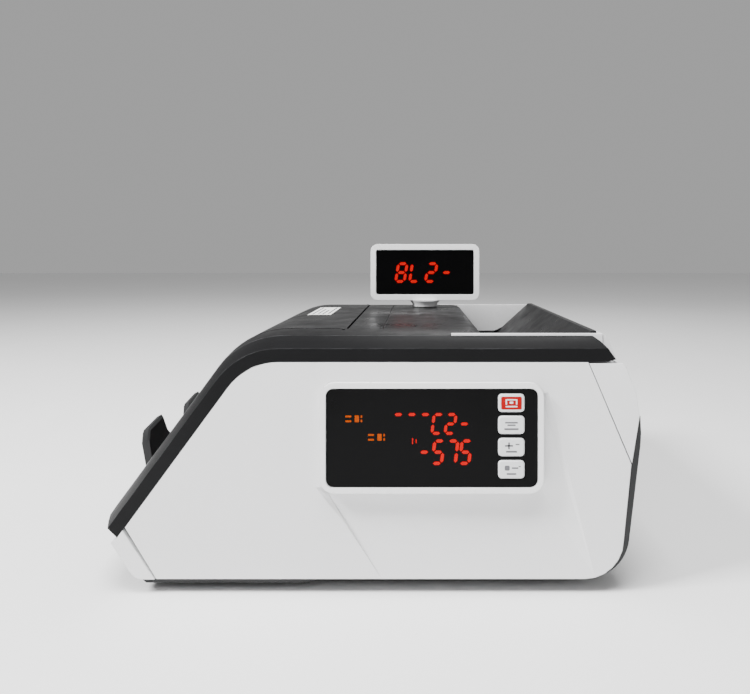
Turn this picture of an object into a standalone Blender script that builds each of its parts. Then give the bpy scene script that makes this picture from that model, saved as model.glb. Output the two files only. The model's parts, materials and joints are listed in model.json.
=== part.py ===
"""Desktop banknote counter, horizontal type: hopper at the rear, note stacker on the front slope.

Metres, +Z up. +X runs from the stacker (front) to the hopper (rear), and the operator sits on the -Y side,
where the control panel is. The origin is on the table under the centre of the machine's box.
Profiles are drawn in millimetres in the XZ plane and lofted across the width.
"""

import math

import bmesh
import bpy
from mathutils import Matrix, Vector
from mathutils.geometry import convex_hull_2d, delaunay_2d_cdt

MM = 0.001

# Driving dimensions, in millimetres.
GAP = 0.3                      # left between pieces that touch
MID_Y = 2.0                    # middle plane of the casing; the bezel stands proud on the -Y side only
HALF_WIDTH = 122.5             # casing, from the middle plane to either side
PANEL_THICK = 3.5
PANEL_BOTTOM = 8.5
SLOPE = math.radians(53.7)     # front slope, from the horizontal
CORNER_X, CORNER_Z = -50.0, 96.4   # centre of the arc that joins slope and top
RIM_R = 43.2                   # radius of the rim's outer edge about that centre
RIM_DEEP = 7.5                 # height of the black band on the side
RIM_RISE = 5.5                 # how far the rim climbs from its outer to its inner edge
RIM_INNER = 108.0              # rim's inner edge, from the middle plane
RIM_TIP_Z = 37.3
SHELL = 3.0
LID_HALF = 90.5
LID_X = -14.5                  # lid's rear edge
LID_FRONT_Z = 100.0            # lid's lower front edge, on the slope
HINGE = (-16.0, 146.2)          # lid hinge axis, x and z
DECK_X = -13.0                 # front edge of the fixed deck, behind the lid
GROOVE_X = 8.0                 # shallow groove across the deck
DECK_LIP_X = 70.0
HOPPER_HALF = 107.6            # outside of the white hopper surround
HOPPER_WALL = 2.6
REAR_ARC = (124.6, 30.5, 22.0)     # side panel's lower rear corner: centre x, z and radius
SEAM_REAR = ((126.5, 131.3), (150.9, 73.9))
REAR_LEAN = math.radians(6.8)  # the black rear cover overhangs by this
FRAME_HALF = 95.0              # inner face of the steel frame plates
FRAME_THICK = 1.5
SHAFT_R = 3.0
BORE_CLEAR = 0.08
SLEEVE_BORE = 3.1
PULLEY_Y = 112.0               # middle of the main belt, from the middle plane
BELT_WIDE = 6.0
SHARP_ANGLE = math.radians(40.0)   # edges that turn more than this are shaded sharp

# Rollers: x, z, roller radius, roller half length, pulley radius.
PICKUP = (84.0, 97.0, 13.0, 34.0, 10.0)
FEED = (46.0, 101.0, 15.0, 60.0, 12.0)
TRANSPORT = (-24.0, 102.5, 15.0, 76.0, 12.0)
MAIN_MOTOR = (22.0, 46.0, 24.0)
MOTOR_PULLEY_R = 8.0
IMPELLER = (-82.0, 80.0, 25.0)
IMPELLER_PULLEY_R = 9.0
IMPELLER_Y = 40.0
SMALL_MOTOR = (-46.0, 44.0, 15.0)
SMALL_PULLEY_R = 6.0
IDLER_R = 7.0
IDLERS = {"rear": (-24.0, 125.2), "front": (-54.0, 121.0)}

PANEL_CENTRE = (37.5, 89.8)    # control panel, x and z
BEZEL = (126.0, 62.4)
BEZEL_FACE = -124.5
WINDOW = (119.0, 55.4)
BUTTON = (14.8, 10.2)
BUTTON_X = 82.2
BUTTON_Z = (109.6, 97.2, 84.7, 72.2)

HEAD = (36.0, 70.0)            # customer display, swivel axis x and y
HEAD_SIZE = (94.0, 16.0, 48.6)
HEAD_Z = 153.6

MATERIALS = {
    "casing_white": ((0.86, 0.87, 0.88), 0.38, 0.0),
    "gloss_black": ((0.018, 0.018, 0.02), 0.18, 0.0),
    "black_plastic": ((0.035, 0.035, 0.038), 0.5, 0.0),
    "smoked_window": ((0.008, 0.008, 0.01), 0.08, 0.0),
    "button_white": ((0.85, 0.86, 0.86), 0.4, 0.0),
    "button_red": ((0.8, 0.03, 0.03), 0.4, 0.0),
    "led_red": ((0.6, 0.02, 0.02), 0.4, 0.0),
    "roller_rubber": ((0.05, 0.05, 0.05), 0.8, 0.0),
    "steel": ((0.6, 0.6, 0.62), 0.3, 1.0),
    "zinc_plate": ((0.62, 0.64, 0.66), 0.45, 1.0),
    "circuit_green": ((0.02, 0.2, 0.08), 0.45, 0.0),
    "white_plastic": ((0.8, 0.8, 0.78), 0.5, 0.0),
    "copper_iron": ((0.35, 0.2, 0.1), 0.5, 0.6),
    "belt_rubber": ((0.03, 0.03, 0.03), 0.75, 0.0),
}


def material(name):
    """The named material, made once."""
    found = bpy.data.materials.get(name)
    if found:
        return found
    colour, roughness, metallic = MATERIALS[name]
    made = bpy.data.materials.new(name)
    made.use_nodes = True
    shader = made.node_tree.nodes["Principled BSDF"]
    shader.inputs["Base Color"].default_value = (*colour, 1.0)
    shader.inputs["Roughness"].default_value = roughness
    shader.inputs["Metallic"].default_value = metallic
    return made


def finish_object(name, mesh_builder, finish, origin=(0.0, 0.0, 0.0)):
    """Turns a bmesh in millimetres into an object whose origin is the given point."""
    bmesh.ops.recalc_face_normals(mesh_builder, faces=mesh_builder.faces)
    to_local = Matrix.Scale(MM, 4) @ Matrix.Translation(-Vector(origin))
    mesh_builder.transform(to_local)
    mesh = bpy.data.meshes.new(name)
    mesh_builder.to_mesh(mesh)
    mesh_builder.free()
    obj = bpy.data.objects.new(name, mesh)
    obj.location = Vector(origin) * MM
    obj.data.materials.append(material(finish))
    bpy.context.scene.collection.objects.link(obj)
    return obj


def loft(name, stations, finish, origin=(0.0, 0.0, 0.0)):
    """A closed solid through equal loops of (x, z) points, each at its own y."""
    built = bmesh.new()
    rings = [[built.verts.new((x, y, z)) for x, z in loop] for y, loop in stations]
    for ring, following in zip(rings, rings[1:]):
        for i, corner in enumerate(ring):
            j = (i + 1) % len(ring)
            built.faces.new((corner, ring[j], following[j], following[i]))
    built.faces.new(rings[0])
    built.faces.new(rings[-1])
    return finish_object(name, built, finish, origin)


def extrude(name, loop, y_from, y_to, finish, origin=(0.0, 0.0, 0.0)):
    """An (x, z) outline carried straight across from one y to another."""
    return loft(name, [(y_from, loop), (y_to, loop)], finish, origin)


def box(name, low, high, finish, origin=(0.0, 0.0, 0.0)):
    loop = [(low[0], low[2]), (high[0], low[2]), (high[0], high[2]), (low[0], high[2])]
    return extrude(name, loop, low[1], high[1], finish, origin)


def rounded_rectangle(centre, size, radius, segments=4):
    """Outline of a rectangle with round corners."""
    points = []
    for k, (sx, sz) in enumerate(((1, 1), (-1, 1), (-1, -1), (1, -1))):
        cx = centre[0] + sx * (size[0] / 2 - radius)
        cz = centre[1] + sz * (size[1] / 2 - radius)
        for i in range(segments + 1):
            angle = math.pi / 2 * (k + i / segments)
            points.append((cx + radius * math.cos(angle), cz + radius * math.sin(angle)))
    return points


def arc(cx, cz, radius, start, end, segments):
    """Points on an arc, angles in degrees from +X towards +Z."""
    turns = [math.radians(start + (end - start) * i / segments) for i in range(segments + 1)]
    return [(cx + radius * math.cos(t), cz + radius * math.sin(t)) for t in turns]


def shaded_smooth(obj):
    """Smooth shading on the round faces; edges sharper than the limit stay crisp."""
    obj.data.shade_smooth()
    obj.data.set_sharp_from_angle(angle=SHARP_ANGLE)
    return obj


def turned(name, x, z, steps, finish, segments=24):
    """A solid of revolution about a line along Y: steps are (y, radius), and it is closed at both ends."""
    loops = [(y, arc(x, z, r, 0, 360 * (1 - 1 / segments), segments - 1)) for y, r in steps]
    return shaded_smooth(loft(name, loops, finish, origin=(x, MID_Y, z)))


def cutter(obj):
    """Marks a helper that only cuts."""
    obj.hide_render = True
    obj.display_type = "WIRE"
    return obj


def boolean(obj, other, operation="DIFFERENCE"):
    modifier = obj.modifiers.new(other.name, "BOOLEAN")
    modifier.operation = operation
    modifier.object = cutter(other)
    return obj


def cut_box(obj, name, low, high):
    return boolean(obj, box(name, low, high, "black_plastic"))


def cut_round(obj, name, x, z, radius, y_from, y_to, segments=20):
    return boolean(obj, turned(name, x, z, [(y_from, radius), (y_to, radius)], "black_plastic", segments))


# ---- Outline of the casing seen from the side ----------------------------------------------


def rim_path(offset, low_z, end_x, segments=9):
    """Points up the front slope, round the corner and along the top, this far outside the rim."""
    radius = RIM_R + offset
    edge_x = CORNER_X - radius * math.sin(SLOPE)
    edge_z = CORNER_Z + radius * math.cos(SLOPE)
    low_x = edge_x - (edge_z - low_z) / math.tan(SLOPE)
    slope_end = 90 + math.degrees(SLOPE)
    corner = arc(CORNER_X, CORNER_Z, radius, slope_end, 90, segments)
    return [(low_x, low_z), *corner, (end_x, CORNER_Z + radius)]


def band(offset, thick, low_z, end_x):
    """The rim path given a thickness, as a closed outline."""
    inner = rim_path(offset - thick, low_z, end_x)
    return [*rim_path(offset, low_z, end_x), *reversed(inner)]


def crown(across):
    """Height of the top surface over the rim's outer edge, at this distance from the middle plane."""
    share = min(1.0, (RIM_INNER - across) / (RIM_INNER - 88.0))
    return RIM_RISE + 2.4 * math.sin(share * math.pi / 2) + 0.5 * max(0.0, 1 - across / 88.0)


def both_sides(half_widths):
    """Stations from -Y to +Y at these distances from the middle plane."""
    return [-h for h in half_widths] + [h for h in reversed(half_widths)]


def side_panel_outline():
    """The side panel from its lower front corner, clockwise seen from the operator."""
    rear = arc(*REAR_ARC, 0, -90, 6)
    top = rim_path(-RIM_DEEP - GAP, 38.0, SEAM_REAR[0][0])
    return [(-119.2, PANEL_BOTTOM), *top, SEAM_REAR[1], *rear]


# Corners of the folds in the side panel: x, z and how far each lies inside the panel's plane.
FOLDS = {
    "shoulder": (-28.5, 60.6, 0.0), "left": (-23.5, 59.4, 2.4), "right": (99.6, 59.4, 4.4),
    "top": (99.6, 113.0, 2.4), "edge": (104.0, 114.6, 0.0), "inner_left": (-21.4, 62.0, 0.0),
    "inner_right": (97.2, 62.0, 0.0), "inner_top": (97.2, 114.6, 0.0), "band": (-10.4, 38.5, 0.0),
}
CREASES = (
    ("shoulder", "band"), ("band", "low_left"), ("band", "front_high"), ("left", "low_left"),
    ("left", "right"), ("right", "low_right"), ("right", "top"), ("top", "rear_low"), ("edge", "rear_low"),
    ("inner_left", "inner_right"), ("inner_right", "inner_top"), ("shoulder", "inner_left"),
    ("edge", "inner_top"), ("shoulder", "left"), ("edge", "top"),
)
CUSTOMER_FOLD = 0.35           # the customer's side is folded less deeply


def side_panel(name, side):
    """A thin moulded side with folded facets; side is -1 for the operator's, 1 for the customer's."""
    rim = side_panel_outline()
    rear_low = next(i for i, (x, z) in enumerate(rim) if z < 10.0 and x > 0.0)
    front_high = 1
    rim += [(32.6, PANEL_BOTTOM), (9.2, PANEL_BOTTOM)]
    low_right, low_left = len(rim) - 2, len(rim) - 1
    place = {key: len(rim) + i for i, key in enumerate(FOLDS)}
    points = [Vector(p) for p in (*rim, *((x, z) for x, z, _ in FOLDS.values()))]
    ends = {"low_left": low_left, "low_right": low_right, "rear_low": rear_low, "front_high": front_high}
    edges = [(i, (i + 1) % len(rim)) for i in range(len(rim))]
    edges += [tuple(ends.get(key, place.get(key)) for key in pair) for pair in CREASES]
    flat, _, faces, *_ = delaunay_2d_cdt(points, edges, [], 1, 1e-5)
    depth = 1.0 if side < 0 else CUSTOMER_FOLD
    extra = {(round(x, 3), round(z, 3)): dip * depth for x, z, dip in FOLDS.values()}
    built = bmesh.new()
    skins = []
    for offset in (0.0, PANEL_THICK):
        skin = []
        for x, z in flat:
            dip = max(0.0, 38.0 - z) * 0.017 + extra.get((round(x, 3), round(z, 3)), 0.0)
            skin.append(built.verts.new((x, MID_Y + side * (HALF_WIDTH - dip - offset), z)))
        skins.append(skin)
        for face in faces:
            built.faces.new([skin[i] for i in face])
    outer, inner = skins
    for edge in [e for e in built.edges if e.is_boundary and e.verts[0] in set(outer)]:
        i, j = (outer.index(v) for v in edge.verts)
        built.faces.new((outer[i], outer[j], inner[j], inner[i]))
    return finish_object(name, built, "casing_white")


# ---- Casing --------------------------------------------------------------------------------


def make_casing():
    operator_panel = side_panel("side_panel_operator", -1)
    opening = rounded_rectangle(PANEL_CENTRE, (WINDOW[0] - 1.0, WINDOW[1] - 1.0), 5.0)
    boolean(operator_panel, extrude("cut_panel_opening", opening, -130.0, -110.0, "black_plastic"))
    side_panel("side_panel_customer", 1)

    for name, side in (("trim_rail_operator", -1), ("trim_rail_customer", 1)):
        make_trim_rail(name, side)
    make_front_cap()
    make_base()
    make_rear_upper_cover()
    make_rear_cover()
    make_upper_cover()
    make_hopper()
    make_stacker()


def make_trim_rail(name, side):
    """Black band along slope and top: a low side face, then a bevel that climbs inwards."""
    foot = rim_path(-RIM_DEEP, 32.0, 138.0)
    low = [*rim_path(0.0, RIM_TIP_Z, 138.0), (142.4, 133.5), *reversed(foot)]
    high = [*rim_path(RIM_RISE, RIM_TIP_Z + 2.0, 133.0), (140.0, 134.0), *reversed(foot)]
    middle = [((a[0] + b[0]) / 2, (a[1] + b[1]) / 2 + 0.6) for a, b in zip(low, high)]
    half = len(foot)
    middle[-half:] = foot[::-1]
    stations = [
        (MID_Y + side * (HALF_WIDTH - 0.4), low),
        (MID_Y + side * (HALF_WIDTH - 7.0), middle),
        (MID_Y + side * RIM_INNER, high),
    ]
    loft(name, stations, "gloss_black")


def make_front_cap():
    """White cover that wraps the front under the stacker."""
    outline = [
        (-120.0, PANEL_BOTTOM), (-128.7, PANEL_BOTTOM), (-131.4, 9.6), (-134.3, 12.8),
        (-144.9, 29.2), (-144.4, 30.2), (-142.6, 30.6), (-138.4, 36.2),
    ]
    cap = extrude("front_cap", outline, MID_Y - HALF_WIDTH, MID_Y + HALF_WIDTH, "casing_white")
    inside = [(-140.2, 28.8), (-131.2, 14.8), (-128.0, 11.8), (-100.0, 11.8), (-100.0, 60.0), (-140.2, 60.0)]
    half = HALF_WIDTH - SHELL
    boolean(cap, extrude("cut_front_cap", inside, MID_Y - half, MID_Y + half, "black_plastic"))


def make_base():
    """Black tray that carries everything, and its four feet."""
    half = HALF_WIDTH - PANEL_THICK - 1.7
    outline = [
        (-146.05, 28.4), (-135.5, 12.0), (-132.4, 8.4), (-127.0, 4.0), (-36.0, 4.0), (-29.0, 6.0),
        (121.0, 6.0), (126.0, 8.1), (126.0, 18.0), (-118.5, 18.0), (-118.5, 8.1), (-128.9, 8.1),
        (-131.75, 9.2), (-134.7, 12.5), (-145.2, 28.9),
    ]
    tray = extrude("base_tray", outline, MID_Y - half, MID_Y + half, "black_plastic")
    cut_box(tray, "cut_base", (-115.5, MID_Y - half + 2.5, 8.3), (123.0, MID_Y + half - 2.5, 30.0))
    for name, x, y in (
        ("foot_front_operator", -104.0, -96.0),
        ("foot_front_customer", -104.0, 96.0),
        ("foot_rear_operator", 104.0, -96.0),
        ("foot_rear_customer", 104.0, 96.0),
    ):
        ring = [(math.cos(2 * math.pi * i / 16), math.sin(2 * math.pi * i / 16)) for i in range(16)]
        built = bmesh.new()
        rings = []
        for radius, z in ((7.0, 0.0), (9.0, 3.7 if x < 0 else 5.7)):
            rings.append([built.verts.new((x + radius * c, MID_Y + y + radius * s, z)) for c, s in ring])
        for i in range(16):
            j = (i + 1) % 16
            built.faces.new((rings[0][i], rings[0][j], rings[1][j], rings[1][i]))
        built.faces.new(rings[0])
        built.faces.new(rings[1])
        finish_object(name, built, "roller_rubber")


def make_rear_upper_cover():
    """White cover across the rear above the seam, with a raised middle behind the hopper."""
    outline = [
        (127.2, 131.2), (146.2, 131.2), (148.0, 129.0), (153.8, 114.0), (155.6, 101.0), (151.3, 74.6),
    ]
    cover = extrude("rear_upper_cover", outline, MID_Y - HALF_WIDTH, MID_Y + HALF_WIDTH, "casing_white")
    half = HOPPER_HALF
    ridge = [(139.6, 110.0), (139.6, 146.0), (141.4, 145.2), (148.0, 129.0), (150.0, 115.0)]
    top = extrude("join_rear_ridge", ridge, MID_Y - half, MID_Y + half, "casing_white")
    boolean(cover, top, "UNION")
    inside = [
        (100.0, 60.0), (148.5, 60.0), (152.4, 101.0), (151.0, 112.8),
        (145.6, 127.0), (143.4, 132.6), (142.6, 134.0), (142.6, 128.2), (100.0, 128.2),
    ]
    half = HALF_WIDTH - SHELL
    boolean(cover, extrude("cut_rear_upper", inside, MID_Y - half, MID_Y + half, "black_plastic"))
    half = HOPPER_HALF + GAP
    cut_box(cover, "cut_rear_deck", (100.0, MID_Y - half, 120.0), (139.5, MID_Y + half, 134.0))


def make_rear_cover():
    """Black cover down the rear, with ventilation slots and openings for the mains inlet and switch."""
    cx, cz, radius = REAR_ARC
    inner = [(155.9, 100.6), (151.6, 73.6)]
    outer = [(156.6, 100.9), (157.0, 91.0), (156.6, 84.0)]
    for i in range(9):
        turn = math.radians(-56 * i / 8)
        inner.append((cx + (radius + 0.4) * math.cos(turn), cz + (radius + 0.4) * math.sin(turn)))
        grown = radius + 3.6 - 2.6 * i / 8
        outer.append((cx + grown * math.cos(turn), cz + grown * math.sin(turn)))
    half = HALF_WIDTH - 1.5
    cover = extrude("rear_cover", [*outer, *reversed(inner)], MID_Y - half, MID_Y + half, "black_plastic")
    cut_box(cover, "cut_inlet", (120.0, 44.0, 35.0), (170.0, 72.6, 56.0))
    cut_box(cover, "cut_switch", (120.0, 12.0, 37.0), (170.0, 32.0, 51.0))
    for k in range(6):
        z = 38.0 + 6.0 * k
        cut_box(cover, f"cut_vent_{k}", (120.0, -92.0, z), (170.0, -32.0, z + 2.6))


def make_upper_cover():
    """Black top moulding: deck behind the lid, strips beside it, and the lip under the slope."""
    widths = (HOPPER_HALF, 100.0, 88.0)
    lip = arc(DECK_LIP_X - 8.0, 0.0, 8.0, 90, 0, 4)
    stations = []
    for offset in both_sides(widths):
        rise = crown(abs(offset))
        top_z = CORNER_Z + RIM_R + rise
        outer = [(-143.4, 32.2), *rim_path(rise, 40.4, DECK_LIP_X - 12.0)]
        outer += [(x, z + top_z - 8.0) for x, z in lip] + [(DECK_LIP_X + 1.2, 121.0)]
        inner = [(DECK_LIP_X + 1.2 - SHELL, 121.0), (DECK_LIP_X - SHELL, top_z - 8.0)]
        inner += [(DECK_LIP_X - 9.0, top_z - SHELL)]
        inner += [*reversed(rim_path(rise - SHELL, 42.6, DECK_LIP_X - 12.0)), (-140.2, 34.0)]
        stations.append((MID_Y + offset, [*outer, *inner]))
    cover = loft("upper_cover", stations, "gloss_black")
    opening = LID_HALF + 0.7
    cut_box(cover, "cut_lid_opening", (-220.0, MID_Y - opening, 44.0), (DECK_X, MID_Y + opening, 220.0))
    for side in (-1, 1):
        y = sorted((MID_Y + side * (HOPPER_HALF - HOPPER_WALL - GAP), MID_Y + side * 130.0))
        cut_box(cover, f"cut_surround_{side}", (49.0, y[0], 100.0), (200.0, y[1], 200.0))
    reach = LID_HALF + 4.2
    cut_round(cover, "cut_hinge_bore", *HINGE, 1.5, MID_Y - reach, MID_Y + reach, 12)
    groove_low, groove_high = (GROOVE_X, MID_Y - opening, 146.7), (GROOVE_X + 0.7, MID_Y + opening, 160.0)
    cut_box(cover, "cut_groove", groove_low, groove_high)
    swivel = bmesh.new()
    bmesh.ops.create_cone(swivel, cap_ends=True, segments=24, radius1=5.08, radius2=5.08, depth=40.0,
                          matrix=Matrix.Translation((HEAD[0], HEAD[1], 145.0)))
    boolean(cover, finish_object("cut_swivel_bore", swivel, "black_plastic"))


def make_hopper():
    """White surround, glossy feed plate with its roller slots, and the retard pad over the feed roller."""
    outer, inner = HOPPER_HALF, HOPPER_HALF - HOPPER_WALL
    low, high = (49.5, MID_Y - outer, 121.8), (139.2, MID_Y + outer, 146.3)
    surround = box("hopper_surround", low, high, "casing_white")
    cut_box(surround, "cut_surround", (40.0, MID_Y - inner, 110.0), (136.6, MID_Y + inner, 160.0))
    plate = [
        (136.2, 147.6), (133.0, 147.6), (99.0, 116.6), (92.0, 111.8), (73.0, 107.6),
        (73.0, 105.2), (92.6, 109.4), (100.6, 114.6), (136.2, 143.6),
    ]
    half = inner - GAP
    feed = extrude("feed_plate", plate, MID_Y - half, MID_Y + half, "gloss_black")
    for side in (-1, 1):
        y = sorted((MID_Y + side * half, MID_Y + side * (half - 2.4)))
        cheek = [(71.0, 104.0), (88.0, 104.0), (112.0, 121.4), (112.0, 127.0), (100.0, 121.4), (73.6, 121.4)]
        boolean(feed, extrude(f"join_cheek_{side}", cheek, y[0], y[1], "gloss_black"), "UNION")
    x, _, radius, length, _ = PICKUP
    cut_box(feed, "cut_pickup_slot", (x - radius - 1.0, MID_Y - length - 1.5, 90.0),
            (x + radius + 1.0, MID_Y + length + 1.5, 125.0))
    pad = [(37.0, 119.0), (58.0, 116.9), (64.0, 119.5), (64.0, 124.0), (58.0, 144.3), (46.0, 144.3),
           (42.0, 124.0), (37.0, 124.0)]
    extrude("retard_pad", pad, MID_Y - 22.0, MID_Y + 22.0, "roller_rubber")


def make_stacker():
    """Chute under the slope with cheeks and impeller slots, and the two stop plates in front of it."""
    half = LID_HALF - GAP
    path = [(-91.0, 104.0), (-99.0, 62.0), (-112.0, 47.5), (-137.0, 39.0)]
    back = [(-134.0, 37.6), (-110.4, 45.4), (-96.8, 60.9), (-88.8, 104.0)]
    chute = extrude("stacker_chute", [*path, *back], MID_Y - half, MID_Y + half, "black_plastic")
    cheek = [(-89.0, 104.0), (-98.0, 104.0), (-134.6, 44.5), (-134.6, 38.5), (-110.8, 46.6), (-97.6, 61.4)]
    for side in (-1, 1):
        y = sorted((MID_Y + side * half, MID_Y + side * (half - 2.2)))
        boolean(chute, extrude(f"join_chute_cheek_{side}", cheek, y[0], y[1], "black_plastic"), "UNION")
        y_slot = MID_Y + side * IMPELLER_Y
        low, high = (-125.0, y_slot - 8.0, 52.0), (-80.0, y_slot + 8.0, 120.0)
        cut_box(chute, f"cut_impeller_slot_{side}", low, high)
    toe, heel = (-152.4, 44.3), (-147.6, 44.3)
    outer = [toe, (-157.0, 72.0), (-156.2, 74.2), (-153.0, 75.6), (-151.6, 74.0), heel]
    short = [toe, (-156.3, 66.0), (-155.6, 67.4), (-152.6, 68.6), (-151.0, 67.0), heel]
    root = [toe, (-154.4, 56.0), (-153.8, 57.2), (-150.8, 58.0), (-149.6, 56.6), heel]
    for name, y in (("stop_plate_operator", -55.5), ("stop_plate_customer", 18.0)):
        peak = [(x, z + 3.6 * max(0.0, (z - 60.0) / 15.0)) for x, z in outer]
        loft(name, [(y, short), (y + 3.0, outer), (y + 24.0, peak), (y + 30.0, short), (y + 41.0, root)],
             "black_plastic")


# ---- Control panel -------------------------------------------------------------------------


def make_control_panel():
    bezel_back = MID_Y - HALF_WIDTH - GAP
    bezel = extrude("display_bezel", rounded_rectangle(PANEL_CENTRE, BEZEL, 8.0), BEZEL_FACE, bezel_back,
                    "casing_white")
    inner = rounded_rectangle(PANEL_CENTRE, (WINDOW[0] + 0.6, WINDOW[1] + 0.6), 4.3)
    boolean(bezel, extrude("cut_bezel", inner, -130.0, -110.0, "black_plastic"))
    window = extrude("display_window", rounded_rectangle(PANEL_CENTRE, WINDOW, 4.0), -123.4, -121.2,
                     "smoked_window")
    for k, z in enumerate(BUTTON_Z):
        hole = rounded_rectangle((BUTTON_X, z), (BUTTON[0] + 0.7, BUTTON[1] + 0.7), 2.3, 3)
        boolean(window, extrude(f"cut_button_{k}", hole, -130.0, -110.0, "black_plastic"))
        cap = rounded_rectangle((BUTTON_X, z), BUTTON, 2.0, 3)
        crown_loop = rounded_rectangle((BUTTON_X, z), (BUTTON[0] - 1.2, BUTTON[1] - 1.2), 1.6, 3)
        finish = "button_red" if k == 0 else "button_white"
        loft(f"button_{k + 1}", [(-124.3, crown_loop), (-123.7, cap), (-116.4, cap)], finish,
             origin=(BUTTON_X, -124.3, z))
    box("led_module", (-8.0, -120.8, 68.0), (62.0, -114.2, 112.0), "led_red")
    board = box("display_board", (-17.0, -113.9, 66.0), (92.0, -112.3, 114.0), "circuit_green")
    for k, (x, z) in enumerate(((-13.0, 70.0), (-13.0, 110.0), (88.6, 70.0))):
        cut_round(board, f"cut_board_{k}", x, z, 1.6, -120.0, -100.0, 8)


def make_customer_display():
    """Head that swivels on a short stem through the deck."""
    x, y = HEAD
    wide, deep, high = HEAD_SIZE
    centre = (x, HEAD_Z + high / 2)
    origin = (x, y, HEAD_Z)
    front, rear = y - deep / 2, y + deep / 2
    ring = rounded_rectangle(centre, (wide, high), 6.0)
    back = rounded_rectangle(centre, (wide - 8.0, high - 8.0), 4.0)
    shell = loft("head_shell", [(front, ring), (y + 3.0, ring), (rear, back)], "casing_white", origin)
    pocket = rounded_rectangle(centre, (84.6, 38.6), 1.6)
    boolean(shell, extrude("cut_head_pocket", pocket, front - 5.0, rear - 3.0, "black_plastic"))
    extrude("head_window", rounded_rectangle(centre, (84.0, 38.0), 1.4), front + 0.9, front + 2.9,
            "smoked_window", origin)
    box("head_board", (x - 36.0, front + 5.0, HEAD_Z + 10.0), (x + 36.0, front + 6.6, HEAD_Z + 38.0),
        "circuit_green", origin)
    built = bmesh.new()
    rings = []
    steps = ((5.0, 138.0), (5.0, 148.1), (10.6, 148.1), (11.0, 150.4), (13.4, 153.3))
    turns = [2 * math.pi * i / 24 for i in range(24)]
    for radius, z in steps:
        around = [(x + radius * math.cos(t), y + radius * math.sin(t), z) for t in turns]
        rings.append([built.verts.new(point) for point in around])
    for ring_a, ring_b in zip(rings, rings[1:]):
        for i in range(24):
            j = (i + 1) % 24
            built.faces.new((ring_a[i], ring_a[j], ring_b[j], ring_b[i]))
    built.faces.new(rings[0])
    built.faces.new(rings[-1])
    shaded_smooth(finish_object("head_stem", built, "casing_white", (x, y, 148.1)))


# ---- Lid -----------------------------------------------------------------------------------


def make_lid():
    """Flip-up lid over the note path, with moulded hinge pins and two pressure rollers under it."""
    stations = []
    for offset in both_sides((LID_HALF, 88.0, 45.0)):
        rise = crown(min(88.0, abs(offset)))
        stations.append((MID_Y + offset, band(rise, SHELL, LID_FRONT_Z, LID_X)))
    lid = loft("lid", stations, "gloss_black", (HINGE[0], MID_Y, HINGE[1]))
    for side in (-1, 1):
        y = sorted((MID_Y + side * (LID_HALF - 4.0), MID_Y + side * (LID_HALF + 3.4)))
        pin = turned(f"join_lid_pin_{side}", *HINGE, [(y[0], 1.4), (y[1], 1.4)], "gloss_black", 12)
        boolean(lid, pin, "UNION")
        for name, (x, z) in IDLERS.items():
            y_arm = sorted((MID_Y + side * 78.0, MID_Y + side * 81.0))
            arm = [(x - 4.5, z - 4.0), (x + 4.5, z - 4.0), (x + 6.0, 146.0), (x - 6.0, 146.0)]
            if name == "front":
                arm = [(x - 4.5, z - 4.0), (x + 4.5, z - 4.0), (x + 8.0, 146.0), (x - 4.0, 145.4)]
            boolean(lid, extrude(f"join_arm_{name}_{side}", arm, y_arm[0], y_arm[1], "gloss_black"), "UNION")
    reach = 90.0
    for name, (x, z) in IDLERS.items():
        cut_round(lid, f"cut_idler_bore_{name}", x, z, 1.5 + BORE_CLEAR, MID_Y - reach, MID_Y + reach, 16)
        steps = [(-84.0, 1.5), (-76.0, 1.5), (-76.0, IDLER_R), (76.0, IDLER_R), (76.0, 1.5), (84.0, 1.5)]
        turned(f"pressure_roller_{name}", x, z, [(MID_Y + y, r) for y, r in steps], "roller_rubber", 16)


# ---- Note drive ----------------------------------------------------------------------------


def make_shaft(name, x, z, y_from, y_to, pulley, middle):
    """A steel shaft with its flanged belt pulley turned in one piece; y_to is the end the pulley is on."""
    way = 1 if y_to > y_from else -1
    half = BELT_WIDE / 2 + 0.5
    steps = [(y_from, SHAFT_R - 0.5), (y_from + way * 0.5, SHAFT_R)]
    steps += [(middle + way * y, r) for y, r in (
        (-half - 1.2, SHAFT_R), (-half - 1.2, pulley + 2.0), (-half, pulley + 2.0), (-half, pulley),
        (half, pulley), (half, pulley + 2.0), (half + 1.2, pulley + 2.0), (half + 1.2, SHAFT_R),
    )]
    steps += [(y_to - way * 0.5, SHAFT_R), (y_to, SHAFT_R - 0.5)]
    turned(name, x, z, steps, "steel", 20)


def make_sleeve(name, x, z, steps, finish, segments=24):
    """A turned piece with a bore for its shaft: steps are (y, radius)."""
    piece = turned(name, x, z, steps, finish, segments)
    return cut_round(piece, f"cut_{name}", x, z, SLEEVE_BORE, steps[0][0] - 5.0, steps[-1][0] + 5.0)


def make_belt(name, circles, middle):
    """A flat belt round circles of (x, z, radius), a loop with a running gap to each pulley."""
    loops = []
    for extra in (GAP, GAP + 1.3):
        cloud = [Vector(p) for x, z, r in circles for p in arc(x, z, r + extra, 0, 345, 23)]
        loops.append([tuple(cloud[i]) for i in convex_hull_2d(cloud)])
    inner, outer = loops
    y0, y1 = middle - BELT_WIDE / 2, middle + BELT_WIDE / 2
    belt = extrude(name, outer, y0, y1, "belt_rubber")
    boolean(belt, extrude(f"cut_{name}", inner, y0 - 3.0, y1 + 3.0, "black_plastic"))


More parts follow.
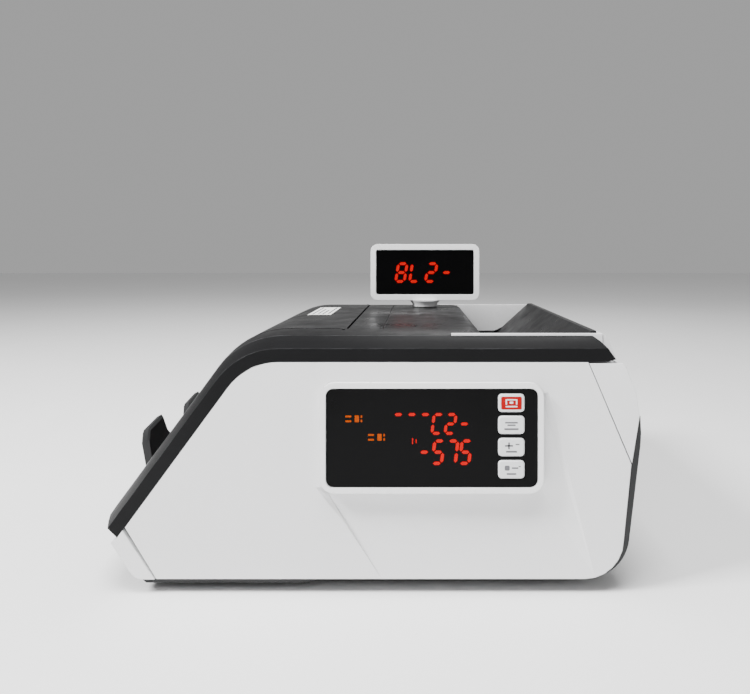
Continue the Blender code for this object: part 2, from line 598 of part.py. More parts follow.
def make_rollers():
    outer = FRAME_HALF + FRAME_THICK
    for name, roller in (("pickup", PICKUP), ("feed", FEED), ("transport", TRANSPORT)):
        x, z, radius, length, pulley = roller
        make_shaft(f"{name}_shaft", x, z, MID_Y - outer - 3.0, MID_Y + PULLEY_Y + 5.6, pulley,
                   MID_Y + PULLEY_Y)
        groove = radius - 1.2
        steps = [(-length, radius), (-length * 0.35, radius), (-length * 0.35, groove),
                 (length * 0.35, groove), (length * 0.35, radius), (length, radius)]
        make_sleeve(f"{name}_roller", x, z, [(MID_Y + y, r) for y, r in steps], "roller_rubber")


def make_impellers():
    """Shaft with two wheels of curved fingers that slow the notes and stand them in the stacker."""
    x, z, radius = IMPELLER
    outer = FRAME_HALF + FRAME_THICK
    make_shaft("impeller_shaft", x, z, MID_Y + outer + 3.0, MID_Y - PULLEY_Y - 5.6, IMPELLER_PULLEY_R,
               MID_Y - PULLEY_Y)
    fingers, hub = 10, 8.0
    for name, side in (("impeller_operator", -1), ("impeller_customer", 1)):
        loop = []
        for k in range(fingers):
            start = 360.0 * k / fingers
            for share, turn in ((0.0, 0.0), (0.5, -12.0), (1.0, -34.0)):
                r = hub + share * (radius - hub)
                loop += arc(x, z, r, start + turn, start + turn, 1)[:1]
            for share, turn in ((0.98, -28.0), (0.5, -1.0)):
                r = hub + share * (radius - hub)
                loop += arc(x, z, r, start + turn, start + turn, 1)[:1]
            loop += arc(x, z, hub, start + 16.0, start + 16.0, 1)[:1]
        y = MID_Y + side * IMPELLER_Y
        wheel = extrude(name, loop, y - 5.0, y + 5.0, "roller_rubber", (x, MID_Y, z))
        cut_round(wheel, f"cut_{name}", x, z, SLEEVE_BORE, y - 9.0, y + 9.0)


def make_motor(name, x, z, radius, y_from, y_to, finish="zinc_plate"):
    """A motor can with its boss and shaft end, from y_from to y_to, the shaft at the y_to end."""
    way = 1 if y_to > y_from else -1
    steps = [
        (y_from, radius - 2.0), (y_from + way * 2.0, radius), (y_to - way * 12.0, radius),
        (y_to - way * 12.0, radius * 0.35), (y_to - way * 9.0, radius * 0.35),
    ]
    turned(name, x, z, steps, finish, 24)


def make_drives():
    """The two motors hang on the frame plates; their pulleys turn the belts."""
    reach = FRAME_HALF + 12.0 - GAP
    tip = FRAME_HALF + 3.0
    x, z, radius = MAIN_MOTOR
    make_motor("main_motor", x, z, radius, MID_Y + 28.0, MID_Y + reach)
    make_drive_pulley("main_motor_pulley", x, z, MOTOR_PULLEY_R, MID_Y + PULLEY_Y, MID_Y + tip)
    rollers = [(r[0], r[1], r[4]) for r in (PICKUP, FEED, TRANSPORT)]
    make_belt("main_belt", [*rollers, (x, z, MOTOR_PULLEY_R)], MID_Y + PULLEY_Y)
    x, z, radius = SMALL_MOTOR
    make_motor("impeller_motor", x, z, radius, MID_Y - 50.0, MID_Y - reach)
    make_drive_pulley("impeller_motor_pulley", x, z, SMALL_PULLEY_R, MID_Y - PULLEY_Y, MID_Y - tip)
    circles = [(IMPELLER[0], IMPELLER[1], IMPELLER_PULLEY_R), (x, z, SMALL_PULLEY_R)]
    make_belt("impeller_belt", circles, MID_Y - PULLEY_Y)


def make_drive_pulley(name, x, z, radius, middle, inner_end):
    """A pulley with the motor's turning shaft in one piece, from inner_end outwards."""
    half = BELT_WIDE / 2 + 0.5
    way = 1 if middle > inner_end else -1
    steps = [
        (inner_end, 2.0), (middle - way * (half + 1.2), 2.0), (middle - way * (half + 1.2), radius + 2.0),
        (middle - way * half, radius + 2.0), (middle - way * half, radius), (middle + way * half, radius),
        (middle + way * half, radius + 2.0), (middle + way * (half + 1.2), radius + 2.0),
    ]
    turned(name, x, z, steps, "white_plastic", 20)


def make_frame():
    """Two steel plates that carry the shafts, the tie rods between them, and the note detector."""
    outline = [(-92.0, 8.6), (96.0, 8.6), (96.0, 103.4), (70.0, 103.4), (64.0, 116.0), (0.0, 116.0),
               (-40.0, 110.0), (-88.0, 96.0), (-92.0, 88.0)]
    for name, side in (("frame_plate_operator", -1), ("frame_plate_customer", 1)):
        y = sorted((MID_Y + side * FRAME_HALF, MID_Y + side * (FRAME_HALF + FRAME_THICK)))
        plate = extrude(name, outline, y[0], y[1], "zinc_plate")
        ends = y[0] - 5.0, y[1] + 5.0
        for k, (x, z) in enumerate((PICKUP[:2], FEED[:2], TRANSPORT[:2], IMPELLER[:2])):
            cut_round(plate, f"cut_bore_{side}_{k}", x, z, SHAFT_R + BORE_CLEAR, *ends, 20)
        motor = MAIN_MOTOR if side == 1 else SMALL_MOTOR
        cut_round(plate, f"cut_boss_{side}", motor[0], motor[1], motor[2] * 0.35 + 0.4, *ends, 16)
    for name, x, z in (("tie_rod_front", -70.0, 26.0), ("tie_rod_rear", 80.0, 60.0)):
        half = FRAME_HALF - GAP
        turned(name, x, z, [(MID_Y - half, 4.0), (MID_Y + half, 4.0)], "steel", 12)
    head = [(10.0, 92.0), (30.0, 92.0), (30.0, 115.0), (28.0, 116.5), (12.0, 116.5), (10.0, 115.0)]
    half = FRAME_HALF - GAP
    extrude("note_detector", head, MID_Y - half, MID_Y + half, "black_plastic")


def make_electrics():
    board = box("main_board", (-86.0, MID_Y - 84.0, 14.0), (-4.0, MID_Y + 12.0, 15.6), "circuit_green")
    chips = ((-74.0, -60.0, 12.0), (-48.0, -30.0, 18.0), (-30.0, -66.0, 10.0))
    for k, (x, y, size) in enumerate(chips):
        low, high = (x, MID_Y + y, 15.0), (x + size, MID_Y + y + size, 18.0)
        chip = box(f"join_chip_{k}", low, high, "black_plastic")
        boolean(board, chip, "UNION")
    for k, (x, y) in enumerate(((-83.0, -81.0), (-12.0, -81.0), (-83.0, 4.0), (-12.0, 4.0))):
        post = box(f"join_post_{k}", (x, MID_Y + y, 8.6), (x + 5.0, MID_Y + y + 5.0, 14.8), "circuit_green")
        boolean(board, post, "UNION")
    core = box("transformer", (52.0, -62.0, 8.6), (98.0, -8.0, 42.0), "copper_iron")
    coil = box("join_coil", (58.0, -68.0, 12.0), (92.0, -2.0, 37.0), "copper_iron")
    boolean(core, coil, "UNION")
    make_inlet()
    make_switch()


def rear_face(z):
    """x of the black rear cover's outer face at this height, on its flat stretch."""
    return 150.2 + (z - 30.5) * math.tan(REAR_LEAN)


def leaning(*objects):
    """Tips pieces that were drawn upright about their own origin until they lie on the rear cover."""
    for obj in objects:
        obj.rotation_euler = (0.0, REAR_LEAN, 0.0)


def make_inlet():
    """Three-pin mains inlet, its flange against the rear cover."""
    z, y = 45.5, 58.3
    x = rear_face(z)
    centre = (x, y, z)
    black = "black_plastic"
    inlet = box("power_inlet", (x + GAP, y - 16.0, z - 13.0), (x + 2.6, y + 16.0, z + 13.0), black, centre)
    body = box("join_inlet_body", (x - 16.0, y - 13.4, z - 9.4), (x + 1.5, y + 13.4, z + 9.4), black, centre)
    well = box("cut_inlet_well", (x - 13.0, y - 11.0, z - 7.4), (x + 20.0, y + 11.0, z + 7.4), black, centre)
    boolean(boolean(inlet, body, "UNION"), well)
    leaning(inlet, body, well)
    for k, (py, pz) in enumerate(((-7.0, 1.6), (7.0, 1.6), (0.0, -2.6))):
        low = (x - 14.0, y + py - 1.0, z + pz - 2.0)
        high = (x - 1.5, y + py + 1.0, z + pz + 2.0)
        blade = box(f"join_blade_{k}", low, high, black, centre)
        leaning(blade)
        boolean(inlet, blade, "UNION")


def make_switch():
    """Mains rocker in its frame."""
    z, y = 44.0, 22.0
    x = rear_face(z)
    centre = (x, y, z)
    black = "black_plastic"
    frame = box("switch_frame", (x + GAP, y - 11.6, z - 8.6), (x + 2.0, y + 11.6, z + 8.6), black, centre)
    body = box("join_switch_body", (x - 14.0, y - 9.4, z - 6.4), (x + 1.2, y + 9.4, z + 6.4), black, centre)
    well = box("cut_switch_well", (x - 9.0, y - 7.9, z - 5.2), (x + 20.0, y + 7.9, z + 5.2), black, centre)
    boolean(boolean(frame, body, "UNION"), well)
    loop = [(x - 4.4, y - 2.0), (x - 4.4, y + 2.0), (x + 1.0, y + 6.6), (x + 4.6, y + 6.6),
            (x + 2.2, y), (x + 2.0, y - 7.2), (x - 1.0, y - 7.0)]
    built = bmesh.new()
    low = [built.verts.new((px, py, z - 4.6)) for px, py in loop]
    high = [built.verts.new((px, py, z + 4.6)) for px, py in loop]
    for i in range(len(loop)):
        j = (i + 1) % len(loop)
        built.faces.new((low[i], low[j], high[j], high[i]))
    built.faces.new(low)
    built.faces.new(high)
    rocker = finish_object("power_switch", built, "button_red", centre)
    leaning(frame, body, well, rocker)


def main():
    for obj in list(bpy.data.objects):
        bpy.data.objects.remove(obj)
    make_casing()
    make_control_panel()
    make_customer_display()
    make_lid()
    make_rollers()
    make_impellers()
    make_frame()
    make_drives()
    make_electrics()


main()
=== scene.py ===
"""Looks for the desktop banknote counter.

Finishes for every part, lit digits, key signs, the lid's label, inlet blades, screws, studio and camera.
Places in the millimetre lists are on the frame's own X and Z axes.
"""

import json
import math

import bmesh
import bpy
from mathutils import Matrix, Vector


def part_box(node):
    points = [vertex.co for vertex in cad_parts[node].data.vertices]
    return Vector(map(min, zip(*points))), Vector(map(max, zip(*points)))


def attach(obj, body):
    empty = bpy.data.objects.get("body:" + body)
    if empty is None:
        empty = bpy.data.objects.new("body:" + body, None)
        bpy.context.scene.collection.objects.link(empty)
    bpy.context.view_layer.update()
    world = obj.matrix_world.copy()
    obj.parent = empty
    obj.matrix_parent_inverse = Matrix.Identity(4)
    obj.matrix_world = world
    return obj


MM = 0.001
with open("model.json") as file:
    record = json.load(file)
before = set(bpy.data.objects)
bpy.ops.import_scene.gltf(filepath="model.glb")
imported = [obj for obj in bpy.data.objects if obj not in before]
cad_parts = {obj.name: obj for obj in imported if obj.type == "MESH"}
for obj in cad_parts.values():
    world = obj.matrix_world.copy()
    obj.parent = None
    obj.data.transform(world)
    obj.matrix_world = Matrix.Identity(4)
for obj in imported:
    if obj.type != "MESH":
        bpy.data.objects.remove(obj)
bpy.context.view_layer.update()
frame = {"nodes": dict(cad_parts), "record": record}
NODES = frame["nodes"]

REAR_LEAN = math.radians(6.8)         # the black rear cover overhangs by this
REAR_FOOT_X, REAR_FOOT_Z = 0.1502, 0.0305   # lower end of the rear cover's flat stretch
INLET_CENTRE = (0.15199, 0.0583, 0.0455)
BLADE_SIZE = (0.0128, 0.00204, 0.00404)     # a hair larger than the bare blades
BLADE_PLACES = ((-7.0, 1.6), (7.0, 1.6), (0.0, -2.6))   # millimetres from the inlet's middle
BLADE_DEPTH = -0.0076                 # middle of a blade, behind the inlet's face
WELD_DISTANCE = 0.000002
LIT_RELIEF = 0.00015                  # how far lit elements stand off the window behind them
WINDOW_GAP = 0.00002
DIGIT_SLANT = 0.12                    # sideways lean of the panel's digits for each unit of height
HEAD_SLANT = 0.16

# Scales of the procedural textures, in cells per metre.
BROAD_SCALE, FINE_SCALE = 11.0, 160.0
WEAR_SCALE, SMUDGE_SCALE = 70.0, 34.0
MOTE_SCALE, FILM_SCALE = 620.0, 24.0
GRAIN_DEPTH = 0.00012
RIPPLE_DEPTH, RIPPLE_STRENGTH = 0.0006, 0.12
DUST_TONE = (0.42, 0.41, 0.39, 1.0)

# ---- Shader helpers ------------------------------------------------------------------------


class Graph:
    """Short names for building one node material."""

    def __init__(self, name):
        self.material = bpy.data.materials.new(name)
        self.material.use_nodes = True
        self.tree = self.material.node_tree
        self.shader = self.tree.nodes["Principled BSDF"]
        self.place = self.tree.nodes.new("ShaderNodeTexCoord").outputs["Object"]

    def node(self, kind, settings=(), **inputs):
        made = self.tree.nodes.new(kind)
        for key, value in settings:
            setattr(made, key, value)
        for key, value in inputs.items():
            self.feed(made.inputs[key.replace("_", " ")], value)
        return made

    def feed(self, socket, value):
        if isinstance(value, bpy.types.NodeSocket):
            self.tree.links.new(value, socket)
        else:
            socket.default_value = value

    def noise(self, scale, detail=3.0, rough=0.55):
        made = self.node("ShaderNodeTexNoise", Scale=scale, Detail=detail, Roughness=rough)
        self.feed(made.inputs["Vector"], self.place)
        return made.outputs["Fac"]

    def math(self, operation, a, b=0.0, clamp=False):
        made = self.tree.nodes.new("ShaderNodeMath")
        made.operation = operation
        made.use_clamp = clamp
        self.feed(made.inputs[0], a)
        self.feed(made.inputs[1], b)
        return made.outputs[0]

    def remap(self, value, low, high, to_low, to_high):
        made = self.tree.nodes.new("ShaderNodeMapRange")
        for socket, item in zip(made.inputs, (value, low, high, to_low, to_high)):
            self.feed(socket, item)
        return made.outputs[0]

    def mix(self, factor, a, b):
        made = self.tree.nodes.new("ShaderNodeMix")
        made.data_type = "RGBA"
        colours = [s for s in made.inputs if s.type == "RGBA"]
        self.feed(made.inputs[0], factor)
        self.feed(colours[0], a)
        self.feed(colours[1], b)
        return [s for s in made.outputs if s.type == "RGBA"][0]


def shade(colour, factor):
    return (*[min(1.0, c * factor) for c in colour], 1.0)


def edge_wear_and_highlight(g, rounded, geometry, amount):
    """How much each point is rubbed and how strongly its painted edge highlight shows: high where the
    rounded normal turns away from the flat one.
    """
    agree = g.node("ShaderNodeVectorMath", (("operation", "DOT_PRODUCT"),))
    g.feed(agree.inputs[0], rounded)
    g.feed(agree.inputs[1], geometry.outputs["Normal"])
    turn = g.remap(agree.outputs["Value"], 0.985, 0.8, 0.0, 1.0)
    patches = g.remap(g.noise(WEAR_SCALE, 5.0), 0.38, 0.68, 0.15, 1.0)
    return g.math("MULTIPLY", g.math("MULTIPLY", turn, patches), amount)


def settled_dust(g, geometry, amount):
    """Specks and a thin film of dust on the faces that look up."""
    up = g.node("ShaderNodeSeparateXYZ", Vector=geometry.outputs["Normal"]).outputs["Z"]
    motes = g.node("ShaderNodeTexVoronoi", Scale=MOTE_SCALE)
    g.feed(motes.inputs["Vector"], g.place)
    speck = g.remap(motes.outputs["Distance"], 0.16, 0.08, 0.0, 1.0)
    film = g.remap(g.noise(FILM_SCALE, 6.0), 0.42, 0.75, 0.0, 0.14)
    return g.math("MULTIPLY", g.math("MAXIMUM", speck, film), g.remap(up, 0.4, 0.95, 0.0, amount))


def brushed(g, streak):
    """Roughness stretched along one direction, as turning or rolling leaves it."""
    wave = g.node("ShaderNodeTexNoise", Scale=1.0, Detail=4.0)
    stretched = g.node("ShaderNodeMapping", Scale=streak)
    g.feed(stretched.inputs["Vector"], g.place)
    g.feed(wave.inputs["Vector"], stretched.outputs[0])
    return g.remap(wave.outputs["Fac"], 0.3, 0.7, -0.08, 0.1)


def bump(g, height, normal, strength, depth):
    made = g.node("ShaderNodeBump", Strength=strength, Distance=depth)
    g.feed(made.inputs["Height"], height)
    g.feed(made.inputs["Normal"], normal)
    return made.outputs[0]


def finish(name, colour, rough, grain=0.0, grain_scale=1500.0, vary=0.06, edge=0.35, edge_mm=0.5,
           dust=0.0, smudge=0.1, metallic=0.0, edge_colour=None, streak=None, specular=0.5):
    """A moulded or metal surface: mottled tone, uneven roughness, grain, rubbed edges with a painted edge
    highlight, and dust.
    """
    g = Graph(name)
    broad = g.noise(BROAD_SCALE, 4.0)
    fine = g.noise(FINE_SCALE, 3.0)
    tone = g.mix(g.remap(broad, 0.3, 0.7, 0.0, 1.0), shade(colour, 1 - vary), shade(colour, 1 + vary))
    tone = g.mix(g.remap(fine, 0.35, 0.75, 0.0, 0.5), tone, shade(colour, 1 - vary * 0.7))

    rounded = g.node("ShaderNodeBevel", (("samples", 4),), Radius=edge_mm * MM).outputs[0]
    geometry = g.node("ShaderNodeNewGeometry")
    paler = edge_colour or [min(1.0, c * 1.1 + 0.06) for c in colour]
    # Edges take a paler tone: partly rubbed wear, partly a painted highlight where a rounded edge would
    # catch the light.
    tone = g.mix(edge_wear_and_highlight(g, rounded, geometry, edge), tone, (*paler, 1.0))

    smudges = g.noise(SMUDGE_SCALE, 6.0, 0.65)
    roughness = g.remap(smudges, 0.3, 0.75, rough * (1 - smudge), rough * (1 + smudge))
    roughness = g.math("ADD", roughness, g.math("MULTIPLY", fine, 0.05))
    if dust:
        settled = settled_dust(g, geometry, dust)
        tone = g.mix(settled, tone, DUST_TONE)
        roughness = g.math("ADD", roughness, g.math("MULTIPLY", settled, 0.5), clamp=True)
    if streak:
        roughness = g.math("ADD", roughness, brushed(g, streak), clamp=True)

    normal = rounded
    if grain:
        normal = bump(g, g.noise(grain_scale, 3.0, 0.6), normal, min(1.0, grain), GRAIN_DEPTH)
    normal = bump(g, broad, normal, RIPPLE_STRENGTH, RIPPLE_DEPTH)
    g.feed(g.shader.inputs["Base Color"], tone)
    g.feed(g.shader.inputs["Roughness"], roughness)
    g.feed(g.shader.inputs["Normal"], normal)
    g.feed(g.shader.inputs["Metallic"], metallic)
    g.feed(g.shader.inputs["Specular IOR Level"], specular)
    return g.material


def lit(name, colour, strength, scale=900.0):
    """A lit element: a little uneven across its face."""
    g = Graph(name)
    glow = g.remap(g.noise(scale, 2.0), 0.3, 0.7, 0.8, 1.1)
    tone = g.mix(g.noise(scale * 0.4, 2.0), shade(colour, 0.85), shade(colour, 1.05))
    g.feed(g.shader.inputs["Base Color"], tone)
    g.feed(g.shader.inputs["Emission Color"], tone)
    g.feed(g.shader.inputs["Emission Strength"], g.math("MULTIPLY", glow, strength))
    g.feed(g.shader.inputs["Roughness"], g.remap(glow, 0.8, 1.1, 0.35, 0.5))
    g.feed(g.shader.inputs["Specular IOR Level"], 0.05)
    return g.material


# Each edge_colour is the paler tone of rubbed edges and also a painted edge highlight.
WHITE = finish("casing_white", (0.8, 0.8, 0.805), 0.42, grain=0.35, grain_scale=1900.0, vary=0.02, edge=0.5,
               edge_mm=0.6, dust=0.05, edge_colour=(0.92, 0.92, 0.92))
BEZEL = finish("bezel_white", (0.88, 0.88, 0.885), 0.26, grain=0.12, vary=0.015, edge=0.4, edge_mm=0.8,
               edge_colour=(0.96, 0.96, 0.96))
GLOSS = finish("deck_black", (0.006, 0.006, 0.0065), 0.33, grain=0.12, grain_scale=700.0, vary=0.15,
               edge=0.55, edge_mm=0.6, dust=0.1, smudge=0.45, edge_colour=(0.2, 0.2, 0.21), specular=0.1)
RIM = finish("rim_black", (0.004, 0.004, 0.0045), 0.42, grain=0.7, grain_scale=1300.0, vary=0.2, edge=0.6,
             edge_mm=0.6, dust=0.03, edge_colour=(0.14, 0.14, 0.15), specular=0.12)
BLACK = finish("moulded_black", (0.012, 0.012, 0.013), 0.45, grain=0.7, vary=0.2, edge=0.5, dust=0.14,
               edge_colour=(0.11, 0.11, 0.12), specular=0.35)
SMOKED = finish("smoked_window", (0.001, 0.001, 0.0012), 0.16, vary=0.2, edge=0.3, edge_mm=0.3, smudge=0.6,
                edge_colour=(0.05, 0.05, 0.055), specular=0.08)
KEY_WHITE = finish("key_white", (0.74, 0.75, 0.76), 0.34, grain=0.25, vary=0.02, edge=0.4, edge_mm=0.5,
                   edge_colour=(0.92, 0.92, 0.92))
KEY_RED = finish("key_red", (0.36, 0.001, 0.002), 0.4, grain=0.2, vary=0.08, edge=0.1, edge_mm=0.4,
                 edge_colour=(0.5, 0.03, 0.03), specular=0.1)
RUBBER = finish("ground_rubber", (0.03, 0.03, 0.031), 0.78, grain=1.0, grain_scale=2200.0, vary=0.25,
                edge=0.5, dust=0.3, edge_colour=(0.12, 0.12, 0.12))
WHEEL_RUBBER = finish("impeller_rubber", (0.42, 0.2, 0.05), 0.6, grain=0.6, vary=0.12, edge=0.4, dust=0.1)
STEEL = finish("ground_steel", (0.62, 0.62, 0.63), 0.24, grain=0.15, vary=0.06, metallic=1.0, edge=0.4,
               streak=(40.0, 1200.0, 40.0))
ZINC = finish("zinc_plate", (0.56, 0.58, 0.6), 0.4, grain=0.3, grain_scale=300.0, vary=0.14, metallic=1.0,
              edge=0.4, streak=(600.0, 30.0, 30.0))
CIRCUIT = finish("solder_mask", (0.012, 0.13, 0.05), 0.34, grain=0.4, grain_scale=420.0, vary=0.3, edge=0.3)
ACETAL = finish("acetal", (0.7, 0.69, 0.65), 0.42, grain=0.2, vary=0.04, edge=0.3)
WINDING = finish("wound_core", (0.3, 0.2, 0.07), 0.5, grain=0.6, grain_scale=260.0, vary=0.25, edge=0.5,
                 streak=(30.0, 900.0, 900.0))
BELT = finish("belt_rubber", (0.02, 0.02, 0.02), 0.7, grain=0.8, vary=0.2, edge=0.4)
LABEL = finish("label_paper", (0.82, 0.82, 0.8), 0.5, grain=0.2, vary=0.03, edge=0.2, dust=0.1)
PRINT_GREY = finish("print_grey", (0.12, 0.12, 0.13), 0.55, vary=0.15, edge=0.1)
PRINT_WHITE = finish("print_white", (0.86, 0.84, 0.84), 0.45, vary=0.04, edge=0.1)
BRASS = finish("plated_blade", (0.72, 0.66, 0.5), 0.28, vary=0.08, metallic=1.0, edge=0.5)
LED_RED = lit("led_red", (0.42, 0.0, 0.0), 0.75)
LED_AMBER = lit("led_amber", (0.32, 0.045, 0.0), 0.3)
LED_DARK = finish("led_module", (0.05, 0.008, 0.008), 0.3, vary=0.2)

BY_SLOT = {
    "casing_white": WHITE, "gloss_black": GLOSS, "black_plastic": BLACK, "smoked_window": SMOKED,
    "button_white": KEY_WHITE, "button_red": KEY_RED, "led_red": LED_DARK, "roller_rubber": RUBBER,
    "steel": STEEL, "zinc_plate": ZINC, "circuit_green": CIRCUIT, "white_plastic": ACETAL,
    "copper_iron": WINDING, "belt_rubber": BELT,
}
BY_NODE = {
    "trim_rail_operator": RIM, "trim_rail_customer": RIM, "display_bezel": BEZEL, "head_shell": BEZEL,
    "head_stem": BEZEL, "hopper_surround": BEZEL, "button_1": KEY_WHITE,
    "impeller_operator": WHEEL_RUBBER, "impeller_customer": WHEEL_RUBBER,
}


def smooth_group(angle):
    """Geometry nodes that weld split corners and smooth every edge flatter than the angle."""
    tree = bpy.data.node_groups.new("smooth_by_angle", "GeometryNodeTree")
    tree.interface.new_socket("Geometry", in_out="INPUT", socket_type="NodeSocketGeometry")
    tree.interface.new_socket("Geometry", in_out="OUTPUT", socket_type="NodeSocketGeometry")
    source = tree.nodes.new("NodeGroupInput")
    drop = tree.nodes.new("GeometryNodeRemoveAttribute")
    drop.inputs["Name"].default_value = "custom_normal"
    weld = tree.nodes.new("GeometryNodeMergeByDistance")
    weld.inputs["Distance"].default_value = WELD_DISTANCE
    smooth = tree.nodes.new("GeometryNodeSetShadeSmooth")
    sharpen = tree.nodes.new("GeometryNodeSetShadeSmooth")
    sharpen.domain = "EDGE"
    sharpen.inputs["Shade Smooth"].default_value = False
    folded = tree.nodes.new("GeometryNodeInputMeshEdgeAngle")
    compare = tree.nodes.new("FunctionNodeCompare")
    compare.operation = "GREATER_THAN"
    compare.inputs[1].default_value = angle
    sink = tree.nodes.new("NodeGroupOutput")
    chain = (source, drop, weld, smooth, sharpen, sink)
    for a, b in zip(chain, chain[1:]):
        tree.links.new(a.outputs[0], b.inputs[0])
    tree.links.new(folded.outputs[0], compare.inputs[0])
    tree.links.new(compare.outputs[0], sharpen.inputs["Selection"])
    return tree


SMOOTH = smooth_group(math.radians(32.0))
CRISP = smooth_group(math.radians(1.0))
FOLDED = ("side_panel_operator", "side_panel_customer")


def dress_nodes():
    """Gives each CAD node its finish and its smoothing."""
    slots = {s["node"]: s["material_slot"] for s in frame["record"]["subparts"]}
    for name, obj in NODES.items():
        chosen = BY_NODE.get(name) or BY_SLOT[slots[name]]
        for slot in obj.material_slots:
            slot.material = chosen
        if not obj.material_slots:
            obj.data.materials.append(chosen)
        modifier = obj.modifiers.new("smooth", "NODES")
        modifier.node_group = CRISP if name in FOLDED else SMOOTH


# ---- Pieces ---------------------------------------------------------------------------------


def piece(name, built, material, body):
    """Turns the drawn mesh into an object that rides on one of the bodies."""
    bmesh.ops.recalc_face_normals(built, faces=built.faces)
    mesh = bpy.data.meshes.new(name)
    built.to_mesh(mesh)
    built.free()
    obj = bpy.data.objects.new(name, mesh)
    obj.data.materials.append(material)
    bpy.context.scene.collection.objects.link(obj)
    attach(obj, body)
    return obj


def prism(built, loop, y_back, y_front):
    """Adds an (x, z) outline as a thin plate facing -Y."""
    back = [built.verts.new((x, y_back, z)) for x, z in loop]
    front = [built.verts.new((x, y_front, z)) for x, z in loop]
    count = len(loop)
    for i in range(count):
        j = (i + 1) % count
        built.faces.new((back[i], back[j], front[j], front[i]))
    built.faces.new(back)
    built.faces.new(front)


def round_box(centre, size, radius, segments=5):
    """Outline of a rectangle with round corners."""
    points = []
    for k, (sx, sz) in enumerate(((1, 1), (-1, 1), (-1, -1), (1, -1))):
        cx = centre[0] + sx * (size[0] / 2 - radius)
        cz = centre[1] + sz * (size[1] / 2 - radius)
        for i in range(segments + 1):
            angle = math.pi / 2 * (k + i / segments)
            points.append((cx + radius * math.cos(angle), cz + radius * math.sin(angle)))
    return points


SEGMENTS = {
    "a": ((0, 2), (1, 2)), "b": ((1, 2), (1, 1)), "c": ((1, 1), (1, 0)), "d": ((0, 0), (1, 0)),
    "e": ((0, 1), (0, 0)), "f": ((0, 2), (0, 1)), "g": ((0, 1), (1, 1)),
}


def digit(built, centre, size, segments, y, thick, slant):
    """Adds the lit segments of one seven-segment digit, as bars with pointed ends."""
    wide, high = size
    for key in segments:
        (ax, az), (bx, bz) = SEGMENTS[key]
        a = Vector((centre[0] + (ax - 0.5) * wide, centre[1] + (az - 1) * high / 2))
        b = Vector((centre[0] + (bx - 0.5) * wide, centre[1] + (bz - 1) * high / 2))
        along = (b - a).normalized()
        side = Vector((-along.y, along.x)) * thick / 2
        a, b = a + along * thick * 0.22, b - along * thick * 0.22
        tip = along * thick * 0.5
        loop = [a, a + tip + side, b - tip + side, b, b - tip - side, a + tip - side]
        prism(built, [(p.x + (p.y - centre[1]) * slant, p.y) for p in loop], y, y - LIT_RELIEF)


# Lit cells, in millimetres: x and z of the middle, and the segments that are lit.
PANEL_UPPER = ((18.0, 97.7, "a"), (25.6, 97.7, "a"), (33.2, 97.7, "a"), (40.6, 97.7, "adef"),
               (48.0, 97.7, "abged"), (55.8, 97.7, "g"))
PANEL_LOWER = ((33.2, 81.8, "g"), (41.0, 81.8, "afgcd"), (48.8, 81.8, "abc"), (56.4, 81.8, "afgcd"))
PANEL_TICKS = ((26.6, 88.0, 3.4), (28.6, 88.0, 2.2))   # x, z and height
HEAD_CELLS = ((15.6, 177.6, "abcdefg"), (27.6, 177.6, "def"), (41.4, 177.6, "abged"), (54.6, 177.6, "g"))
# Amber status marks: where each group starts, and its bars as x, z, width and height from there.
STATUS_PLACES = ((-11.2, 100.6), (1.6, 90.2))
STATUS_BARS = ((1.6, 1.3, 3.4, 1.0), (1.6, -1.4, 3.4, 1.0), (6.4, 0.0, 2.4, 3.8), (9.0, 1.2, 0.9, 1.4),
               (9.0, -1.2, 0.9, 1.4))
# Bars of the printed sign on each key, in the same order, from the key's middle.
KEY_SIGNS = (
    ((0.0, -1.9, 6.6, 0.7), (-2.9, 0.7, 0.8, 3.0), (2.9, 0.7, 0.8, 3.0), (0.0, 1.9, 5.0, 0.7),
     (0.0, 0.3, 2.0, 1.2)),
    ((0.0, 1.4, 7.2, 0.8), (0.0, 0.0, 4.6, 0.8), (0.0, -2.2, 8.0, 0.9)),
    ((-1.4, 0.9, 4.6, 0.9), (-1.4, 0.9, 0.9, 3.8), (3.4, 1.7, 2.2, 0.6), (0.0, -2.4, 6.2, 0.9)),
    ((-2.4, 0.9, 2.8, 2.8), (2.0, 0.9, 3.6, 0.8), (4.6, 1.8, 1.2, 0.5), (0.0, -2.4, 5.4, 0.9)),
)
RED_FACE = (11.6 * MM, 7.2 * MM)
RED_RELIEF = 0.0001
PRINT_RELIEF = 0.00006


def digits(built, cells, size, y, thick, slant):
    """Adds a row of digits; the size and the bars' thickness are in millimetres."""
    for x, z, segments in cells:
        digit(built, (x * MM, z * MM), (size[0] * MM, size[1] * MM), segments, y, thick * MM, slant)


def panel_digits():
    """Two rows of counts with two small ticks on the operator's panel, and two amber status marks."""
    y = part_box("display_window")[0][1] - WINDOW_GAP
    built = bmesh.new()
    digits(built, PANEL_UPPER, (4.9, 10.6), y, 1.7, DIGIT_SLANT)
    digits(built, PANEL_LOWER, (5.2, 12.6), y, 1.9, DIGIT_SLANT)
    for x, z, high in PANEL_TICKS:
        prism(built, round_box((x * MM, z * MM), (0.6 * MM, high * MM), 0.2 * MM), y, y - LIT_RELIEF)
    piece("panel_digits", built, LED_RED, "casing")
    built = bmesh.new()
    for x, z in STATUS_PLACES:
        for dx, dz, wide, high in STATUS_BARS:
            loop = round_box(((x + dx) * MM, (z + dz) * MM), (wide * MM, high * MM), 0.3 * MM)
            prism(built, loop, y, y - LIT_RELIEF)
    piece("panel_status_marks", built, LED_AMBER, "casing")


def head_digits():
    """The count on the customer display, slanted."""
    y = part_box("head_window")[0][1] - WINDOW_GAP
    built = bmesh.new()
    digits(built, HEAD_CELLS, (7.4, 15.4), y, 2.6, HEAD_SLANT)
    piece("head_digits", built, LED_RED, "customer_display")


